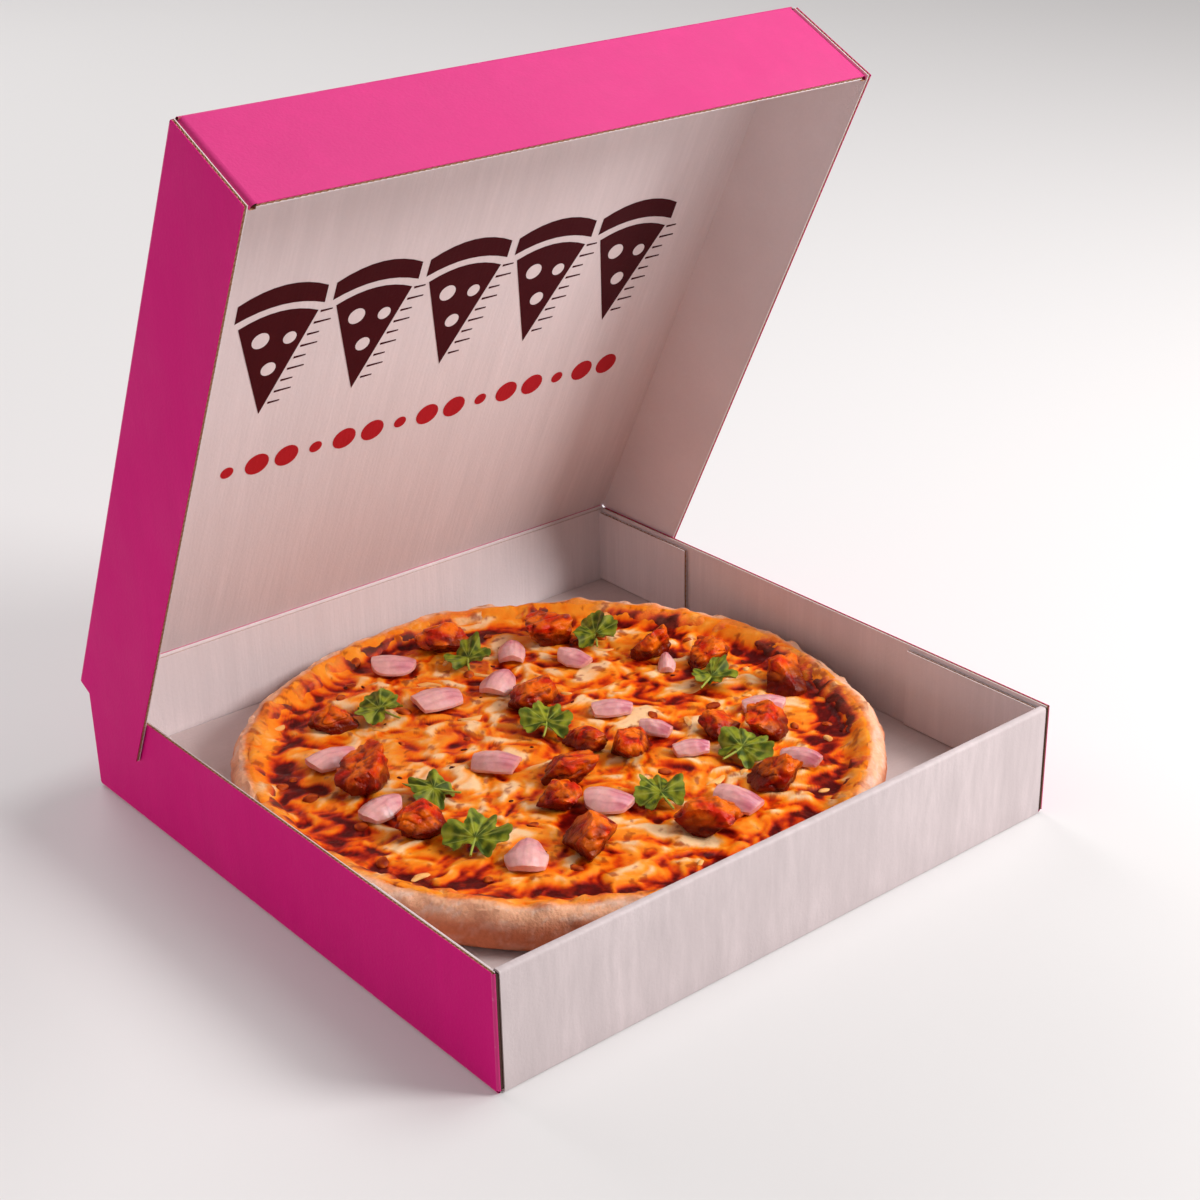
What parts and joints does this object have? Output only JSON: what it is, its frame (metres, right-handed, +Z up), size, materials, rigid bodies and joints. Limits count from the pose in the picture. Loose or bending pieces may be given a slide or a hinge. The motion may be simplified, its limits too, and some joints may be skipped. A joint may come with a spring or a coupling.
{
  "type": "pizza in its box",
  "caption": "Round topped pizza lying on a liner pad in a square corrugated box, with a full-depth lid that turns on the crease of the back wall.",
  "frame": {"origin": "middle of the tray's underside, on the surface that it stands on", "axes": "+Z up, -Y towards the front wall, hinge of the lid along X at the back"},
  "size_m": [0.264, 0.2615, 0.283],
  "materials": {
    "printed_board": "matte print on white-lined corrugated board",
    "white_board": "matte white liner",
    "cheese_and_crust": "baked dough with molten cheese and sauce",
    "browned_chunk": "glossy browned chunk",
    "raw_onion": "moist onion petal",
    "coriander_green": "fresh leaf"
  },
  "bodies": {
    "tray": {"box_base": "printed_board", "floor_pad": "white_board", "pizza": "cheese_and_crust", "chunk_01": "browned_chunk", "chunk_02": "browned_chunk", "chunk_03": "browned_chunk", "chunk_04": "browned_chunk", "chunk_05": "browned_chunk", "chunk_06": "browned_chunk", "chunk_07": "browned_chunk", "chunk_08": "browned_chunk", "chunk_09": "browned_chunk", "chunk_10": "browned_chunk", "chunk_11": "browned_chunk", "chunk_12": "browned_chunk", "chunk_13": "browned_chunk", "chunk_14": "browned_chunk", "chunk_15": "browned_chunk", "chunk_16": "browned_chunk", "chunk_17": "browned_chunk", "chunk_18": "browned_chunk", "onion_01": "raw_onion", "onion_02": "raw_onion", "onion_03": "raw_onion", "onion_04": "raw_onion", "onion_05": "raw_onion", "onion_06": "raw_onion", "onion_07": "raw_onion", "onion_08": "raw_onion", "onion_09": "raw_onion", "onion_10": "raw_onion", "onion_11": "raw_onion", "onion_12": "raw_onion", "onion_13": "raw_onion", "onion_14": "raw_onion", "onion_15": "raw_onion", "onion_16": "raw_onion", "onion_17": "raw_onion", "coriander_01": "coriander_green", "coriander_02": "coriander_green", "coriander_03": "coriander_green", "coriander_04": "coriander_green", "coriander_05": "coriander_green", "coriander_06": "coriander_green", "coriander_07": "coriander_green", "coriander_08": "coriander_green", "coriander_09": "coriander_green"},
    "lid": {"box_lid": "printed_board"}
  },
  "joints": [
    {"name": "lid_hinge", "type": "hinge", "parent": "tray", "child": "lid", "pos_m": [0, 0.13, 0.0455], "axis": [-1, 0, 0], "range_deg": [-63.5, 116.5]}
  ]
}
